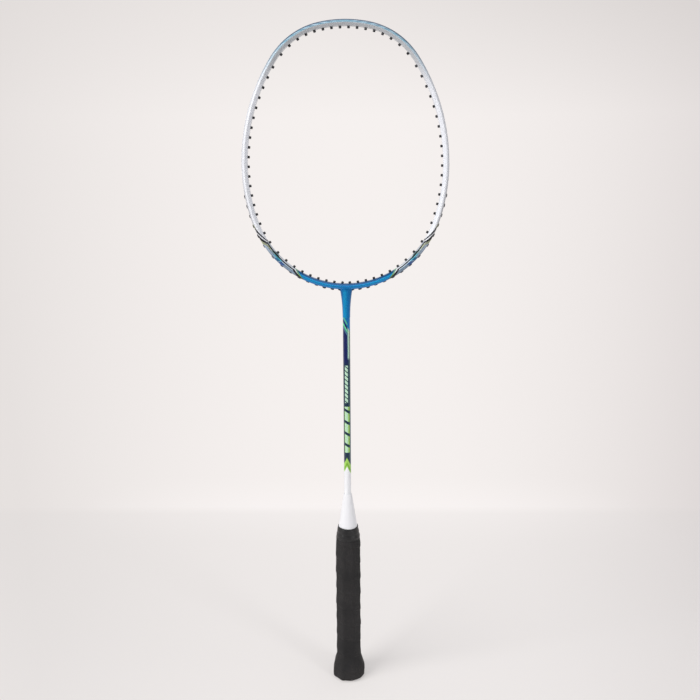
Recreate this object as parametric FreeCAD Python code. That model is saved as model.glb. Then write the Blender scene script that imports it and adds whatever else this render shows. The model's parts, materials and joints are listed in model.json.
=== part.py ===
import FreeCAD, Part
import math
import os

from FreeCAD import Vector

# Unstrung badminton racket, upright: X across the face, Y front to back, Z up.
# The origin is the middle of the butt's bottom face. Millimetres.

# ---- overall sizes -------------------------------------------------------------
overall_length = 675.0
head_width = 195.8
head_length = 246.4
widest_below_top = 130.3

# ---- roundness of the head's outline: each arc's radius, as a multiple of the radius that an
# ellipse of the same half width and half length has at its top or at its side -----------------
top_roundness = 1.611
shoulder_roundness = 0.9625
upper_side_roundness = 1.018
lower_side_roundness = 1.173

# ---- section of the hoop: radial thickness and front to back depth --------------
hoop_thickness = 5.5
hoop_depth = 10.4
inner_face_width = 4.8
outer_face_width = 6.0
ridge_from_inner_face = 2.7
ridge_round = 1.3
edge_round = 0.8
least_round = 0.25
hoop_wall = 0.95
groove_depth = 0.75
groove_side_gap = 0.15
groove_round = 0.3

# ---- grommets --------------------------------------------------------------------
main_pitch = 7.83
cross_pitch = 8.94
first_cross_above_throat = 40.0
last_cross_below_top = 31.0
main_before_cross = 6.0
sunk_crosses_from = 6
barrel_diameter = 2.5
string_bore = 1.4
tie_off_bore = 1.8
barrel_stands_in = 2.0
barrel_mouth = 0.25
hole_clearance = 0.05
sunk_flange_ledge = 0.4
sunk_flange_height = 0.7
proud_flange_ledge = 0.6
proud_flange_height = 0.9
throat_flange_height = 1.5
flange_bevel_share = 0.35
throat_splay = [20.0, 10.0, 6.0]
tie_off_cross = 3
tie_off_main = 6

# ---- neck moulded below the hoop ---------------------------------------------------
neck_length = 28.0
neck_end_step = 0.2
neck_top_width = 13.4
neck_depth_inset = 0.25
neck_in_hoop = 2.5
neck_bore_stop = 2.6
neck_width_power = 2.2
neck_depth_power = 1.8
neck_rings = 9
neck_ring_points = 24

# ---- shaft and the joint inside the throat -----------------------------------------
shaft_diameter = 7.2
shaft_bore = 4.2
shaft_in_handle = 114.0
spigot_wall = 0.75
spigot_clearance = 0.1
spigot_end_gap = 0.5
joint_stem_length = 56.0
joint_arm_reach = 26.0
joint_clearance = 0.05
arm_clearance = 0.15

# ---- cone between shaft and handle ---------------------------------------------------
cone_length = 37.5
cone_base_diameter = 19.8
cone_base_band = 1.2
cone_top_wall = 0.7
cone_wall = 1.3
cone_collar_length = 9.0
cone_lip_height = 0.5
cone_lip_inset = 0.3
cone_clearance = 0.1

# ---- handle core ----------------------------------------------------------------------
handle_length = 176.0
core_width = 22.2
core_depth = 20.4
core_bevel = 6.2
core_taper_length = 26.0
core_top_inside_cone = 0.5
nose_diameter = 13.0
nose_length = 8.0
core_foot = 5.0

# ---- butt ------------------------------------------------------------------------------
flare_height = 26.0
flare_growth = 3.6
flare_curve = [(1.0, 0.0), (0.75, 0.32), (0.54, 0.74), (0.34, 0.93)]
flare_widest_height = 5.5
flare_at_edge = 0.96
butt_edge_height = 2.6
butt_edge_inset = 1.95
cap_pocket_clearance = 0.1
cap_rim_wall = 0.4
cover_diameter = 20.0
cover_thickness = 1.2
cover_clearance = 0.1
cover_edge_bevel = 0.2

# ---- staples that hold the butt cap -------------------------------------------------------
staple_crown = 9.0
staple_leg = 6.5
staple_wire_width = 1.1
staple_wire_height = 0.6
staple_height = 15.0
staple_sunk = 0.1
staple_clearance = 0.05

# ---- wraps ----------------------------------------------------------------------------------
grip_gap = 0.3
grip_thickness = 1.45
grip_start = 1.4
grip_over_cone = 2.0
strip_width = 8.0
strip_thickness = 0.22
strip_lift = 0.02
strip_above_flare = 2.0
strip_below_taper = 4.0
finishing_tape_width = 13.0
finishing_tape_thickness = 0.25
finishing_tape_gap = 0.05

# ---- shaft plug -------------------------------------------------------------------------------
plug_length = 10.0
plug_head_diameter = 6.6
plug_head_length = 1.6

# ---- how far a cut runs past the face it opens --------------------------------------------------
cut_over = 1.0

# ---- worked out ---------------------------------------------------------------------------------
z_axis = Vector(0, 0, 1)
half_width = head_width / 2
throat_z = overall_length - head_length
throat_inner_z = throat_z + hoop_thickness
widest_z = overall_length - widest_below_top
sunk_flange_diameter = barrel_diameter + 2 * sunk_flange_ledge
proud_flange_diameter = barrel_diameter + 2 * proud_flange_ledge
groove_width = sunk_flange_diameter + 2 * groove_side_gap
neck_end_z = throat_z - neck_length
neck_end_diameter = shaft_diameter + 2 * neck_end_step
spigot_diameter = shaft_bore + 2 * spigot_wall
neck_bore = spigot_diameter + spigot_clearance
neck_bore_top_z = throat_z - neck_bore_stop
stem_top_z = throat_z + hoop_thickness / 2
shaft_foot_z = handle_length - shaft_in_handle
cone_top_z = handle_length + cone_length
cone_top_diameter = shaft_diameter + 2 * (cone_clearance + cone_top_wall)
core_top_diameter = cone_base_diameter - 2 * core_top_inside_cone
taper_start_z = handle_length - core_taper_length
grip_top_z = handle_length + grip_over_cone


def circle_meeting(ax, az, ar, bx, bz, br):
    """Higher of the two points where the circle of radius ar about a meets that of radius br about b."""
    dx = bx - ax
    dz = bz - az
    apart = math.hypot(dx, dz)
    along = (apart ** 2 + ar ** 2 - br ** 2) / (2 * apart)
    across = math.sqrt(ar ** 2 - along ** 2)
    mx = ax + along * dx / apart
    mz = az + along * dz / apart
    one = (mx - across * dz / apart, mz + across * dx / apart)
    two = (mx + across * dz / apart, mz - across * dx / apart)
    return one if one[1] > two[1] else two


def angle_of(cx, cz, px, pz):
    return math.degrees(math.atan2(pz - cz, px - cx))


def head_arcs():
    """Right half of the outer face, top to bottom: (centre x, centre z, radius, high angle, low angle)."""
    drop = widest_z - throat_z
    top_radius = top_roundness * half_width ** 2 / widest_below_top
    shoulder_radius = shoulder_roundness * half_width ** 2 / widest_below_top
    upper_radius = upper_side_roundness * widest_below_top ** 2 / half_width
    lower_radius = lower_side_roundness * drop ** 2 / half_width
    bottom_radius = ((2 * half_width * lower_radius - half_width ** 2 - drop ** 2)
                     / (2 * (lower_radius - drop)))
    top_cz = overall_length - top_radius
    upper_cx = half_width - upper_radius
    lower_cx = half_width - lower_radius
    bottom_cz = throat_z + bottom_radius
    shoulder = circle_meeting(0, top_cz, top_radius - shoulder_radius,
                              upper_cx, widest_z, upper_radius - shoulder_radius)
    top_end = angle_of(0, top_cz, *shoulder)
    shoulder_end = angle_of(upper_cx, widest_z, *shoulder)
    if lower_radius > bottom_radius:
        lower_end = angle_of(lower_cx, widest_z, 0, bottom_cz)
    else:
        lower_end = angle_of(0, bottom_cz, lower_cx, widest_z)
    return [
        (0.0, top_cz, top_radius, 90.0, top_end),
        (shoulder[0], shoulder[1], shoulder_radius, top_end, shoulder_end),
        (upper_cx, widest_z, upper_radius, shoulder_end, 0.0),
        (lower_cx, widest_z, lower_radius, 0.0, lower_end),
        (0.0, bottom_cz, bottom_radius, lower_end, -90.0),
    ]


arcs = head_arcs()


def rounded_wire(corners, place):
    """Closed wire through (a, b, corner radius) points; place turns (a, b) into a point in space."""
    edges = []
    count = len(corners)
    joins = []
    for i in range(count):
        a, b, radius = corners[i]
        pa, pb, _ = corners[i - 1]
        na, nb, _ = corners[(i + 1) % count]
        to_prev = (pa - a, pb - b)
        to_next = (na - a, nb - b)
        prev_len = math.hypot(*to_prev)
        next_len = math.hypot(*to_next)
        up = (to_prev[0] / prev_len, to_prev[1] / prev_len)
        un = (to_next[0] / next_len, to_next[1] / next_len)
        half = math.acos(up[0] * un[0] + up[1] * un[1]) / 2
        reach = radius / math.tan(half)
        mid = (up[0] + un[0], up[1] + un[1])
        mid_len = math.hypot(*mid)
        depth = radius / math.sin(half) - radius
        joins.append((
            (a + up[0] * reach, b + up[1] * reach),
            (a + mid[0] / mid_len * depth, b + mid[1] / mid_len * depth),
            (a + un[0] * reach, b + un[1] * reach),
        ))
    for i in range(count):
        first, middle, last = joins[i]
        following = joins[(i + 1) % count][0]
        edges.append(Part.Arc(place(*first), place(*middle), place(*last)).toShape())
        edges.append(Part.makeLine(place(*last), place(*following)))
    return Part.Wire(edges)


def ridge_tip():
    """Front to back distance of the ridge's sharp corner; its rounded top then lies at the hoop's depth."""
    tip = hoop_depth / 2
    rounds_of_fitting = 12
    for _ in range(rounds_of_fitting):
        inward = (ridge_from_inner_face, tip - inner_face_width / 2)
        outward = (hoop_thickness - ridge_from_inner_face, tip - outer_face_width / 2)
        opening = math.atan2(inward[0], inward[1]) + math.atan2(outward[0], outward[1])
        tip = hoop_depth / 2 + ridge_round * (1 / math.sin(opening / 2) - 1)
    return tip


def section_corners(inset=0.0):
    """Corners of the hoop's section, or of its hollow: (out from the inner face, front to back, radius)."""
    tip = ridge_tip()
    inner = inner_face_width / 2
    outer = outer_face_width / 2
    corners = [
        (0.0, -inner, edge_round),
        (ridge_from_inner_face, -tip, ridge_round),
        (hoop_thickness, -outer, edge_round),
        (hoop_thickness, outer, edge_round),
        (ridge_from_inner_face, tip, ridge_round),
        (0.0, inner, edge_round),
    ]
    if inset == 0.0:
        return corners
    insets = [inset, inset, inset + groove_depth, inset, inset, inset]
    return moved_in(corners, insets)


def moved_in(corners, insets):
    """Convex outline with each side moved in; side n runs from corner n to the next."""
    count = len(corners)
    lines = []
    for i in range(count):
        a, b, _ = corners[i]
        c, d, _ = corners[(i + 1) % count]
        length = math.hypot(c - a, d - b)
        normal = (-(d - b) / length, (c - a) / length)
        lines.append((normal, normal[0] * a + normal[1] * b + insets[i]))
    moved = []
    for i in range(count):
        (ax, ay), ad = lines[i - 1]
        (bx, by), bd = lines[i]
        cross = ax * by - ay * bx
        radius = max(corners[i][2] - insets[i - 1], least_round)
        moved.append(((ad * by - bd * ay) / cross, (ax * bd - bx * ad) / cross, radius))
    return moved


def swept(corners, arc, high, low, side):
    """The section turned about one arc's centre, from the high angle to the low angle."""
    cx, cz, radius, _, _ = arc
    cx = cx * side
    start = low if side > 0 else 180.0 - high
    across = math.radians(start)
    inner_radius = radius - hoop_thickness

    def place(out, front):
        r = inner_radius + out
        return Vector(cx + r * math.cos(across), front, cz + r * math.sin(across))

    face = Part.Face(rounded_wire(corners, place))
    return face.revolve(Vector(cx, 0, cz), Vector(0, -1, 0), high - low)


def swept_hoop(corners, end_angle=-90.0):
    """The section carried down both sides of the head, to where the outward direction has end_angle."""
    top = arcs[0]
    pieces = [swept(corners, top, 180.0 - top[4], top[4], 1)]
    for arc in arcs[1:]:
        high, low = arc[3], max(arc[4], end_angle)
        if low < high:
            pieces.append(swept(corners, arc, high, low, 1))
            pieces.append(swept(corners, arc, high, low, -1))
    return pieces[0].multiFuse(pieces[1:])


def cross_height(number):
    return throat_inner_z + first_cross_above_throat + number * cross_pitch


def groove_cut():
    """String groove round the outer face; a round end closes it between two crosses on each side."""
    far = hoop_thickness + cut_over
    floor = hoop_thickness - groove_depth
    corners = [
        (floor, -groove_width / 2, groove_round),
        (far, -groove_width / 2, groove_round),
        (far, groove_width / 2, groove_round),
        (floor, groove_width / 2, groove_round),
    ]
    end_point, out = on_outline(arcs, groove_depth, z=cross_height(sunk_crosses_from - 0.5))
    cut = swept_hoop(corners, math.degrees(math.atan2(out.z, out.x)))
    depth = groove_depth + cut_over
    for point, direction in ((end_point, out), (mirrored(end_point), mirrored(out))):
        cut = cut.fuse(Part.makeCylinder(groove_width / 2, depth, point, direction))
    return cut


def on_outline(arc_list, inset, x=None, z=None, top=True):
    """Point of the outline, inset from the outer face, at a given x or z, with its outward direction."""
    for cx, cz, radius, high, low in arc_list:
        r = radius - inset
        if x is not None:
            reach = (x - cx) / r
            if abs(reach) > 1:
                continue
            angle = math.degrees(math.acos(reach)) * (1 if top else -1)
        else:
            reach = (z - cz) / r
            if abs(reach) > 1:
                continue
            angle = math.degrees(math.asin(reach))
        if low - 1e-6 <= angle <= high + 1e-6:
            turn = math.radians(angle)
            out = Vector(math.cos(turn), 0, math.sin(turn))
            return Vector(cx, 0, cz) + out * r, out
    raise ValueError("no point of the head outline there")


def mains_up_to(limit_x):
    """Distances from the middle of the mains on one side that lie nearer the middle than limit_x."""
    count = int((limit_x - main_pitch / 2) / main_pitch) + 1
    return [(k + 0.5) * main_pitch for k in range(count)]


def grommet_places():
    """Right-hand grommets: (group, point on the inner face, direction out, flange kind, bore)."""
    places = []
    room = head_length - 2 * hoop_thickness - first_cross_above_throat - last_cross_below_top
    crosses = [on_outline(arcs, hoop_thickness, z=cross_height(j))
               for j in range(int(room / cross_pitch) + 1)]
    for x in mains_up_to(crosses[-1][0].x - main_before_cross):
        point, out = on_outline(arcs[:3], hoop_thickness, x=x)
        places.append(("top", point, out, "sunk", string_bore))
    for j, (point, out) in enumerate(crosses):
        if j >= sunk_crosses_from:
            places.append(("upper", point, out, "sunk", string_bore))
        elif j == tie_off_cross:
            places.append(("tie_off", point, out, "proud", tie_off_bore))
        else:
            places.append(("lower", point, out, "proud", string_bore))
    for k, x in enumerate(mains_up_to(crosses[0][0].x - main_before_cross)):
        point, out = on_outline(arcs[3:], hoop_thickness, x=x, top=False)
        if k < len(throat_splay):
            lean = math.radians(throat_splay[k])
            out = Vector(out.x * math.cos(lean) - out.z * math.sin(lean), 0,
                         out.z * math.cos(lean) + out.x * math.sin(lean))
            places.append(("throat", point, out, "splayed", string_bore))
        elif k == tie_off_main:
            places.append(("tie_off", point, out, "proud", tie_off_bore))
        else:
            places.append(("throat", point, out, "proud", string_bore))
    return places


def seat_distance(point, out, kind):
    """How far along its own axis, from the inner face, a grommet's flange rests."""
    if kind == "sunk":
        return hoop_thickness - groove_depth
    if kind == "proud":
        return hoop_thickness
    straight_out = (point - Vector(0, 0, arcs[4][1])).normalize()
    return hoop_thickness / out.dot(straight_out)


def turned_profile(points, base, out):
    """Solid made by turning (radius, height) points about the line from base along out."""
    wire = Part.makePolygon([Vector(r, 0, h) for r, h in points + points[:1]])
    solid = Part.Face(wire).revolve(Vector(0, 0, 0), z_axis, 360)
    turn = FreeCAD.Rotation(z_axis, out)
    solid.Placement = FreeCAD.Placement(base, turn)
    return solid


def grommet(point, out, kind, bore):
    """Barrel with a flange outside; the barrel's end stands in from the inner face."""
    flange_d = sunk_flange_diameter if kind == "sunk" else proud_flange_diameter
    flange_h = {"sunk": sunk_flange_height, "proud": proud_flange_height,
                "splayed": throat_flange_height}[kind]
    seat = seat_distance(point, out, kind)
    barrel_r = barrel_diameter / 2
    flange_r = flange_d / 2
    bore_r = bore / 2
    mouth = min(barrel_mouth, (barrel_r - bore_r) / 2)
    rim = flange_h * flange_bevel_share
    total = seat + flange_h
    points = [
        (bore_r + mouth, -barrel_stands_in),
        (barrel_r - mouth, -barrel_stands_in),
        (barrel_r, -barrel_stands_in + mouth),
        (barrel_r, seat),
        (flange_r, seat),
        (flange_r, total - rim),
        (flange_r - rim, total),
        (bore_r + mouth, total),
        (bore_r, total - mouth),
        (bore_r, -barrel_stands_in + mouth),
    ]
    return turned_profile(points, point, out)


def grommet_hole(point, out, kind):
    """Drilled hole, with a faced seat where a leaning flange has to bed down."""
    radius = barrel_diameter / 2 + hole_clearance
    base = point - out * (barrel_stands_in + cut_over)
    hole = Part.makeCylinder(radius, barrel_stands_in + 2 * hoop_thickness + cut_over, base, out)
    if kind == "splayed":
        seat_r = proud_flange_diameter / 2 + hole_clearance
        seat_at = point + out * seat_distance(point, out, kind)
        hole = hole.fuse(Part.makeCylinder(seat_r, hoop_thickness, seat_at, out))
    return hole


def mirrored(vector):
    return Vector(-vector.x, vector.y, vector.z)


def both_sides(places):
    """Each right-hand place and its mirror image on the left."""
    doubled = []
    for group, point, out, kind, bore in places:
        doubled.append((group, "right", point, out, kind, bore))
        doubled.append((group, "left", mirrored(point), mirrored(out), kind, bore))
    return doubled


def neck_ring(t):
    """Oval at the share t of the way from the neck's end up to its root in the hoop."""
    end_r = neck_end_diameter / 2
    root_y = hoop_depth / 2 - neck_depth_inset
    half_x = end_r + (neck_top_width / 2 - end_r) * t ** neck_width_power
    half_y = end_r + (root_y - end_r) * t ** neck_depth_power
    z = neck_end_z + (throat_z + neck_in_hoop - neck_end_z) * t
    points = []
    for n in range(neck_ring_points):
        turn = 2 * math.pi * n / neck_ring_points
        points.append(Vector(half_x * math.cos(turn), half_y * math.sin(turn), z))
    ring = Part.BSplineCurve()
    ring.interpolate(Points=points, PeriodicFlag=True)
    return Part.Wire(ring.toShape())


def neck_solid():
    """Neck that grows from the shaft's end to the hoop, wider across than front to back at the top."""
    rings = [neck_ring(i / (neck_rings - 1)) for i in range(neck_rings)]
    return Part.makeLoft(rings, True, False)


def head_frame(places):
    """Hollow hoop and neck in one piece, grooved outside and drilled for every grommet."""
    body = swept_hoop(section_corners()).fuse(neck_solid())
    body = body.cut(swept_hoop(section_corners(hoop_wall)))
    body = body.cut(groove_cut())
    bore_foot = neck_end_z - cut_over
    spigot_bore = Part.makeCylinder(neck_bore / 2, neck_bore_top_z - bore_foot, Vector(0, 0, bore_foot))
    stem_hole = Part.makeCylinder(shaft_bore / 2, stem_top_z + arm_clearance - neck_bore_top_z,
                                  Vector(0, 0, neck_bore_top_z))
    holes = [grommet_hole(point, out, kind) for _, _, point, out, kind, _ in places]
    return body.cut([spigot_bore, stem_hole] + holes)


def t_joint(places):
    """Two arms inside the hollow hoop and a stem down into the shaft, drilled for the throat grommets."""
    bottom = arcs[4]
    span = math.degrees(joint_arm_reach / (bottom[2] - hoop_thickness / 2))
    corners = section_corners(hoop_wall + arm_clearance)
    arms = swept(corners, bottom, -90.0 + span, -90.0 - span, 1)
    stem = Part.makeCylinder(shaft_bore / 2 - joint_clearance, joint_stem_length,
                             Vector(0, 0, stem_top_z - joint_stem_length))
    holes = [grommet_hole(point, out, kind) for group, _, point, out, kind, _ in places
             if group in ("throat", "tie_off")]
    return arms.fuse(stem).cut(holes)


def shaft():
    """Hollow shaft whose upper end steps down to fit up inside the neck."""
    foot = Vector(0, 0, shaft_foot_z)
    body = Part.makeCylinder(shaft_diameter / 2, neck_end_z - shaft_foot_z, foot)
    spigot_length = neck_bore_top_z - spigot_end_gap - shaft_foot_z
    spigot = Part.makeCylinder(spigot_diameter / 2, spigot_length, foot)
    bore = Part.makeCylinder(shaft_bore / 2, spigot_length + 2 * cut_over,
                             Vector(0, 0, shaft_foot_z - cut_over))
    return body.fuse(spigot).cut(bore)


def shaft_plug():
    """Bung that closes the shaft's lower end, with a head that stops against it."""
    r = shaft_bore / 2 - joint_clearance
    pin = Part.makeCylinder(r, plug_length, Vector(0, 0, shaft_foot_z))
    head = Part.makeCylinder(plug_head_diameter / 2, plug_head_length,
                             Vector(0, 0, shaft_foot_z - plug_head_length))
    return pin.fuse(head)


def cone_cap():
    """Hollow cone over the shaft; its skirt stands on the handle's shoulder, round the nose."""
    base_r = cone_base_diameter / 2
    top_r = cone_top_diameter / 2
    hole_r = shaft_diameter / 2 + cone_clearance
    inside_r = base_r - cone_wall
    band_z = handle_length + cone_base_band
    collar_z = cone_top_z - cone_collar_length
    outer_at_collar = base_r + (top_r - base_r) * (collar_z - handle_length) / cone_length
    inside_at_collar = max(hole_r + cone_clearance, outer_at_collar - cone_wall)
    points = [
        (inside_r, handle_length),
        (base_r, handle_length),
        (base_r, band_z),
        (top_r, cone_top_z - cone_lip_height),
        (top_r - cone_lip_inset, cone_top_z),
        (hole_r, cone_top_z),
        (hole_r, collar_z),
        (inside_at_collar, collar_z),
        (inside_r, band_z),
    ]
    return turned_profile(points, Vector(0, 0, 0), z_axis)


def octagon(half_x, half_y, bevel, z):
    """Bevelled rectangle at height z, with corners cut off by bevel."""
    points = [
        Vector(half_x, -half_y + bevel, z),
        Vector(half_x, half_y - bevel, z),
        Vector(half_x - bevel, half_y, z),
        Vector(-half_x + bevel, half_y, z),
        Vector(-half_x, half_y - bevel, z),
        Vector(-half_x, -half_y + bevel, z),
        Vector(-half_x + bevel, -half_y, z),
        Vector(half_x - bevel, -half_y, z),
    ]
    return Part.makePolygon(points + points[:1])


def bevel_for(offset):
    """Bevel of the handle's octagon when every face moves out by offset."""
    return core_bevel + offset * (2 - math.sqrt(2))


def handle_form(offset, low, high):
    """The handle's bevelled bar, rounded off to the cone at its top, every face moved out by offset."""
    bar = Part.Face(octagon(core_width / 2 + offset, core_depth / 2 + offset, bevel_for(offset), low))
    bar = bar.extrude(Vector(0, 0, high - low))
    corner_r = math.hypot(core_width / 2, core_depth / 2) + offset
    top_r = core_top_diameter / 2 + offset
    points = [
        (0, low - cut_over),
        (corner_r, low - cut_over),
        (corner_r, taper_start_z),
        (top_r, handle_length),
        (top_r, high + cut_over),
        (0, high + cut_over),
    ]
    return bar.common(turned_profile(points, Vector(0, 0, 0), z_axis))


def flare_ring(grown, z):
    return octagon(core_width / 2 + grown, core_depth / 2 + grown, bevel_for(grown), z)


def flare_form(offset):
    """The butt's flare: octagons that grow downwards along a curve and round in at the bottom."""
    levels = [(flare_height * share_up, share_out) for share_up, share_out in flare_curve]
    levels += [(flare_widest_height, 1.0), (butt_edge_height, flare_at_edge)]
    rings = [flare_ring(offset + flare_growth * share, z) for z, share in levels]
    edge = offset + flare_growth * flare_at_edge
    foot = Part.makeLoft([flare_ring(edge - butt_edge_inset, 0.0), flare_ring(edge, butt_edge_height)],
                         True, True)
    return Part.makeLoft(rings, True, False).fuse(foot)


def slab(low, high):
    """Flat block wider than the handle, between two heights."""
    reach = 2 * core_width
    return Part.makeBox(2 * reach, 2 * reach, high - low, Vector(-reach, -reach, low))


def cap_face_at(z):
    """Front to back distance of the cap's back face at a height on its flare, a little inside the curve."""
    for (high_up, high_out), (low_up, low_out) in zip(flare_curve, flare_curve[1:]):
        if low_up * flare_height <= z <= high_up * flare_height:
            t = (z / flare_height - low_up) / (high_up - low_up)
            grown = flare_growth * (low_out + (high_out - low_out) * t)
            return core_depth / 2 + cap_pocket_clearance + cap_rim_wall + grown - staple_sunk
    raise ValueError("the staples lie off the flare")


def staple_form(side, spare, outward):
    """Crown on the cap's front or back face and two legs inwards, spare larger all round."""
    face_y = cap_face_at(staple_height)
    z = staple_height - spare
    crown_y = face_y - staple_wire_height - spare
    body = Part.makeBox(staple_crown + 2 * spare, face_y + outward - crown_y, staple_wire_width + 2 * spare,
                        Vector(-staple_crown / 2 - spare, crown_y, z))
    leg_x = staple_crown / 2 - staple_wire_height
    leg_foot = face_y - staple_leg - spare
    for start in (-staple_crown / 2 - spare, leg_x - spare):
        leg = Part.makeBox(staple_wire_height + 2 * spare, face_y + outward - leg_foot,
                           staple_wire_width + 2 * spare, Vector(start, leg_foot, z))
        body = body.fuse(leg)
    body = body.removeSplitter()
    if side < 0:
        body.rotate(Vector(0, 0, 0), z_axis, 180)
    return body


def staple(side):
    return staple_form(side, 0.0, 0.0)


def staple_slot(side):
    """Room for one staple, open to the outside of the flare."""
    return staple_form(side, staple_clearance, 2 * flare_growth)


def handle_core():
    """Wooden core: bevelled bar, bored for the shaft, with a round nose inside the cone."""
    body = handle_form(0.0, core_foot, handle_length)
    nose = Part.makeCylinder(nose_diameter / 2, nose_length + cut_over,
                             Vector(0, 0, handle_length - cut_over))
    bore_foot = shaft_foot_z - plug_head_length
    bore = Part.makeCylinder(shaft_diameter / 2 + joint_clearance,
                             handle_length + nose_length + cut_over - bore_foot, Vector(0, 0, bore_foot))
    return body.fuse(nose).cut([bore, staple_slot(1), staple_slot(-1)])


def butt_cap():
    """Flared cap slipped over the foot of the core, with a recess below for the cover."""
    body = flare_form(cap_pocket_clearance + cap_rim_wall)
    pocket = Part.Face(flare_ring(cap_pocket_clearance, core_foot)).extrude(Vector(0, 0, flare_height))
    recess = Part.makeCylinder(cover_diameter / 2, cover_thickness)
    return body.cut([pocket, recess, staple_slot(1), staple_slot(-1)])


def butt_cover():
    """Disc let into the butt's bottom face, its lower edge bevelled."""
    disc = Part.makeCylinder(cover_diameter / 2 - cover_clearance, cover_thickness)
    low_edges = [e for e in disc.Edges if e.BoundBox.ZMax < cover_edge_bevel and len(e.Vertexes) == 1]
    return disc.makeChamfer(cover_edge_bevel, low_edges)


def grip_tape():
    """Wrap round the handle, from the butt's lower edge to just over the cone's base."""
    over_cap = cap_pocket_clearance + cap_rim_wall + grip_gap
    outside = handle_form(grip_gap + grip_thickness, grip_start, grip_top_z)
    outside = outside.fuse(flare_form(over_cap + grip_thickness))
    outside = outside.common(slab(grip_start, grip_top_z))
    inside = handle_form(grip_gap, 0.0, grip_top_z + cut_over).fuse(flare_form(over_cap))
    cone_room = Part.makeCylinder(cone_base_diameter / 2 + grip_gap, grip_over_cone + 2 * cut_over,
                                  Vector(0, 0, handle_length - core_top_inside_cone))
    return outside.cut([inside, cone_room])


def adhesive_strip():
    """Double-sided strip down the core's back face, under the wrap."""
    foot = flare_height + strip_above_flare
    length = taper_start_z - strip_below_taper - foot
    return Part.makeBox(strip_width, strip_thickness, length,
                        Vector(-strip_width / 2, core_depth / 2 + strip_lift, foot))


def finishing_tape():
    """Thin band round the top of the wrap that stops it unwinding."""
    low = grip_top_z - finishing_tape_width
    inner = grip_gap + grip_thickness + finishing_tape_gap
    band = handle_form(inner + finishing_tape_thickness, low, grip_top_z)
    return band.cut(handle_form(inner, low - cut_over, grip_top_z + cut_over))


def checked(name, shape, count):
    solids = shape.Solids
    if len(solids) != count or not all(s.isValid() and s.Volume > 0 for s in solids):
        raise RuntimeError(name + ": expected " + str(count) + " sound solids, got " + str(len(solids)))
    return solids


def write(name, shapes):
    """One STEP file per node; identical small parts share a file as separate solids."""
    solids = []
    for shape in shapes:
        solids += checked(name, shape, 1)
    body = solids[0] if len(solids) == 1 else Part.makeCompound(solids)
    body.exportStep("parts/" + name + ".step")
    print(name, len(solids), "solids", round(sum(s.Volume for s in solids), 1), "mm3")


def build():
    os.makedirs("parts", exist_ok=True)
    places = both_sides(grommet_places())
    write("head_frame", [head_frame(places)])
    write("t_joint", [t_joint(places)])
    write("shaft", [shaft()])
    write("shaft_plug", [shaft_plug()])
    write("cone_cap", [cone_cap()])
    write("handle_core", [handle_core()])
    write("butt_cap", [butt_cap()])
    write("butt_cover", [butt_cover()])
    write("butt_staples", [staple(1), staple(-1)])
    write("adhesive_strip", [adhesive_strip()])
    write("grip_tape", [grip_tape()])
    write("finishing_tape", [finishing_tape()])
    groups = {}
    for group, side, point, out, kind, bore in places:
        name = group + "_grommets"
        if group in ("upper", "lower", "throat"):
            name = side + "_" + name
        groups.setdefault(name, []).append(grommet(point, out, kind, bore))
    for name, solids in groups.items():
        write(name, solids)


build()
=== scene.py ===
"""Finishes, handle wrap, studio and camera for the badminton racket, around its CAD frame. Metres."""
import json
import math

import bmesh
import bpy
import numpy as np
from mathutils import Matrix, Vector


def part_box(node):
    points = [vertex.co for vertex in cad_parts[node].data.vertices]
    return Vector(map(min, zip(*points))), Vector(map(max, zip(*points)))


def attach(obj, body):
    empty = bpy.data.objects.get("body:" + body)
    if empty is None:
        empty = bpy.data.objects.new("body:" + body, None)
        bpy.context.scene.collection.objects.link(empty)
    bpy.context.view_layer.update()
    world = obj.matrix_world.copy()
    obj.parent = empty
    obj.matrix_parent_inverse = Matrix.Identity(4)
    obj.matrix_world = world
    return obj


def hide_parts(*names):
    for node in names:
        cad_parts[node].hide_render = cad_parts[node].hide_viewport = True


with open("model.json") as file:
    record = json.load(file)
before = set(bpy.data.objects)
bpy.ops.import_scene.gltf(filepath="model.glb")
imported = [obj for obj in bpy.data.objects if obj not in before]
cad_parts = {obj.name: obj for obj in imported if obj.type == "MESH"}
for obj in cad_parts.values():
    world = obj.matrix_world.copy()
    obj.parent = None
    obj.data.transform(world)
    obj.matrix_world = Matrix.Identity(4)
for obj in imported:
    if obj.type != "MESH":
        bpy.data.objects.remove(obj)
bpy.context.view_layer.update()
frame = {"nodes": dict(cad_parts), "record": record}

MM = 0.001
WHOLE_TURN = 2 * math.pi
QUARTER_TURN = WHOLE_TURN / 4

# ---- the hoop's outline, as the frame gives it
head_low, head_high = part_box("head_frame")
half_width = head_high.x
top_z = head_high.z
throat_z = head_low.z + 28.0 * MM
widest_below_top = 130.3 * MM
hoop_thickness = 5.5 * MM
inner_face_half = 2.4 * MM
outer_face_half = 3.0 * MM
ridge_out = 2.7 * MM
ridge_half = head_high.y
ridge_round = 1.3 * MM
edge_round = 0.8 * MM
groove_depth = 0.75 * MM
groove_half = 1.8 * MM
groove_floor_round = 0.3 * MM
groove_wall = 0.01 * MM
past_groove_wall = 1.2 * MM
groove_end_length = 1.0 * MM
hole_half = 0.86 * MM
station_gap = 1.7 * MM
sharp_angle = math.radians(38.0)
outline_roundness = {"top": 1.611, "shoulder": 0.9625, "upper_side": 1.018, "lower_side": 1.173}

# ---- the neck
neck_end_z = head_low.z
neck_end_radius = 3.8 * MM
neck_top_half_width = 6.7 * MM
neck_top_half_depth = ridge_half - 0.25 * MM
neck_in_hoop = 2.5 * MM
neck_width_power = 2.2
neck_depth_power = 1.8

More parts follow.
